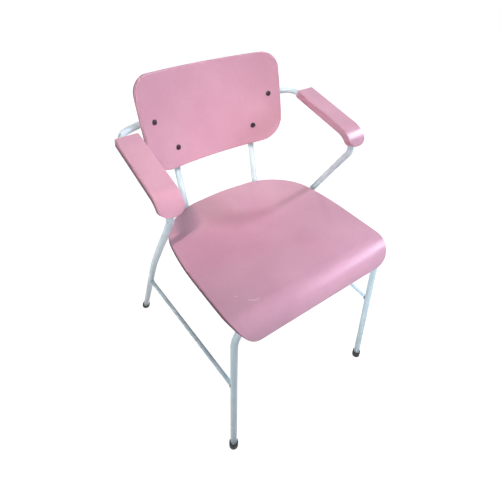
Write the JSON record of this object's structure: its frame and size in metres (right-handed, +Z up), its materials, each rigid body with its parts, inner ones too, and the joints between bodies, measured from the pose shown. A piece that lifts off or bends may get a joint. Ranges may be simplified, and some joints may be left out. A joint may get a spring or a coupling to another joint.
{
  "type": "armchair",
  "caption": "Armchair with a bent steel tube frame and a seat, back and arm pads of moulded plywood, on rubber caps.",
  "frame": {"origin": "middle of the chair's box at floor level", "axes": "+X to the right seen from the sitter's front, -Y the way the sitter faces, +Z up"},
  "size_m": [0.5162, 0.546, 0.7725],
  "materials": {
    "pink_paint": "moulded plywood with satin dusty pink paint",
    "frame_paint": "glossy off-white paint on steel tube",
    "black_rubber": "matt black moulded rubber",
    "dark_steel": "dark oxidised steel, smooth",
    "zinc_steel": "zinc-plated steel, dull"
  },
  "bodies": {
    "root": {"seat_panel": "pink_paint", "backrest_panel": "pink_paint", "front_leg_hoop": "frame_paint", "back_rail": "frame_paint", "rear_seat_bar": "frame_paint", "side_tube_left": "frame_paint", "spine_left": "frame_paint", "stretcher_left": "frame_paint", "arm_pad_left": "pink_paint", "foot_cap_front_left": "black_rubber", "foot_cap_rear_left": "black_rubber", "arm_screw_left_1": "zinc_steel", "arm_screw_left_2": "zinc_steel", "side_tube_right": "frame_paint", "spine_right": "frame_paint", "stretcher_right": "frame_paint", "arm_pad_right": "pink_paint", "foot_cap_front_right": "black_rubber", "foot_cap_rear_right": "black_rubber", "arm_screw_right_1": "zinc_steel", "arm_screw_right_2": "zinc_steel", "back_bolt_upper_left": "dark_steel", "back_nut_upper_left": "dark_steel", "back_spacer_upper_left": "black_rubber", "back_bolt_lower_left": "dark_steel", "back_nut_lower_left": "dark_steel", "back_spacer_lower_left": "black_rubber", "back_bolt_upper_right": "dark_steel", "back_nut_upper_right": "dark_steel", "back_spacer_upper_right": "black_rubber", "back_bolt_lower_right": "dark_steel", "back_nut_lower_right": "dark_steel", "back_spacer_lower_right": "black_rubber", "seat_screw_front_left": "zinc_steel", "seat_screw_rear_left": "zinc_steel", "seat_screw_front_right": "zinc_steel", "seat_screw_rear_right": "zinc_steel"}
  },
  "joints": []
}
